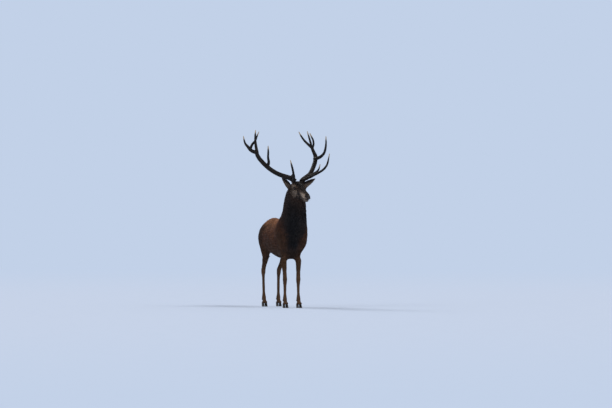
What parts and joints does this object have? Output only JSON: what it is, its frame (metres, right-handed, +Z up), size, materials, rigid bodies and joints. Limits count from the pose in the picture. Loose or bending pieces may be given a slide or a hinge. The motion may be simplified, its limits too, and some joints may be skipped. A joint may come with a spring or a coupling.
{
  "type": "red deer stag",
  "caption": "Life-size standing red deer stag, head high and turned a little to its left, with a dark neck mane and full branched antlers, as a still museum-like model.",
  "frame": {"origin": "on the floor, under the centre of the whole animal's box", "axes": "+Z up; the animal faces -Y; its left side is +X"},
  "size_m": [1.0842, 1.6724, 2.3351],
  "materials": {
    "coat": "short dense summer-to-autumn coat, dark reddish brown on the flanks, lighter orange brown along the back and rump, matt with a faint sheen",
    "mane": "long coarse near-black brown hair on the neck and chest, matt",
    "face_coat": "very short grey-brown hair, paler at the muzzle sides and round the eyes",
    "nose_skin": "bare black pebbled skin, slightly moist",
    "eye": "wet dark brown eye with a level oval pupil",
    "antler": "dark brown weathered bone with beads and furrows, worn ivory at the tine tips",
    "hoof_horn": "dark grey-brown horn with fine growth rings"
  },
  "bodies": {
    "root": {"trunk": "coat", "neck": "mane", "tail": "coat", "head": "face_coat", "nose": "nose_skin", "eye_left": "eye", "ear_left": "face_coat", "antler_left_beam_lower": "antler", "antler_left_beam_middle": "antler", "antler_left_beam_upper": "antler", "antler_left_brow": "antler", "antler_left_bez": "antler", "antler_left_trez": "antler", "antler_left_beam_top": "antler", "antler_left_crown_rear": "antler", "antler_left_crown_middle": "antler", "antler_left_crown_front": "antler", "eye_right": "eye", "ear_right": "face_coat", "antler_right_beam_lower": "antler", "antler_right_beam_middle": "antler", "antler_right_beam_upper": "antler", "antler_right_brow": "antler", "antler_right_bez": "antler", "antler_right_trez": "antler", "antler_right_beam_top": "antler", "antler_right_crown_rear": "antler", "antler_right_crown_outer": "antler", "antler_right_crown_front": "antler", "foreleg_left": "coat", "foreleg_left_claw_inner": "hoof_horn", "foreleg_left_dewclaw_inner": "hoof_horn", "foreleg_left_claw_outer": "hoof_horn", "foreleg_left_dewclaw_outer": "hoof_horn", "foreleg_right": "coat", "foreleg_right_claw_inner": "hoof_horn", "foreleg_right_dewclaw_inner": "hoof_horn", "foreleg_right_claw_outer": "hoof_horn", "foreleg_right_dewclaw_outer": "hoof_horn", "hindleg_left": "coat", "hindleg_left_claw_inner": "hoof_horn", "hindleg_left_dewclaw_inner": "hoof_horn", "hindleg_left_claw_outer": "hoof_horn", "hindleg_left_dewclaw_outer": "hoof_horn", "hindleg_right": "coat", "hindleg_right_claw_inner": "hoof_horn", "hindleg_right_dewclaw_inner": "hoof_horn", "hindleg_right_claw_outer": "hoof_horn", "hindleg_right_dewclaw_outer": "hoof_horn"}
  },
  "joints": []
}
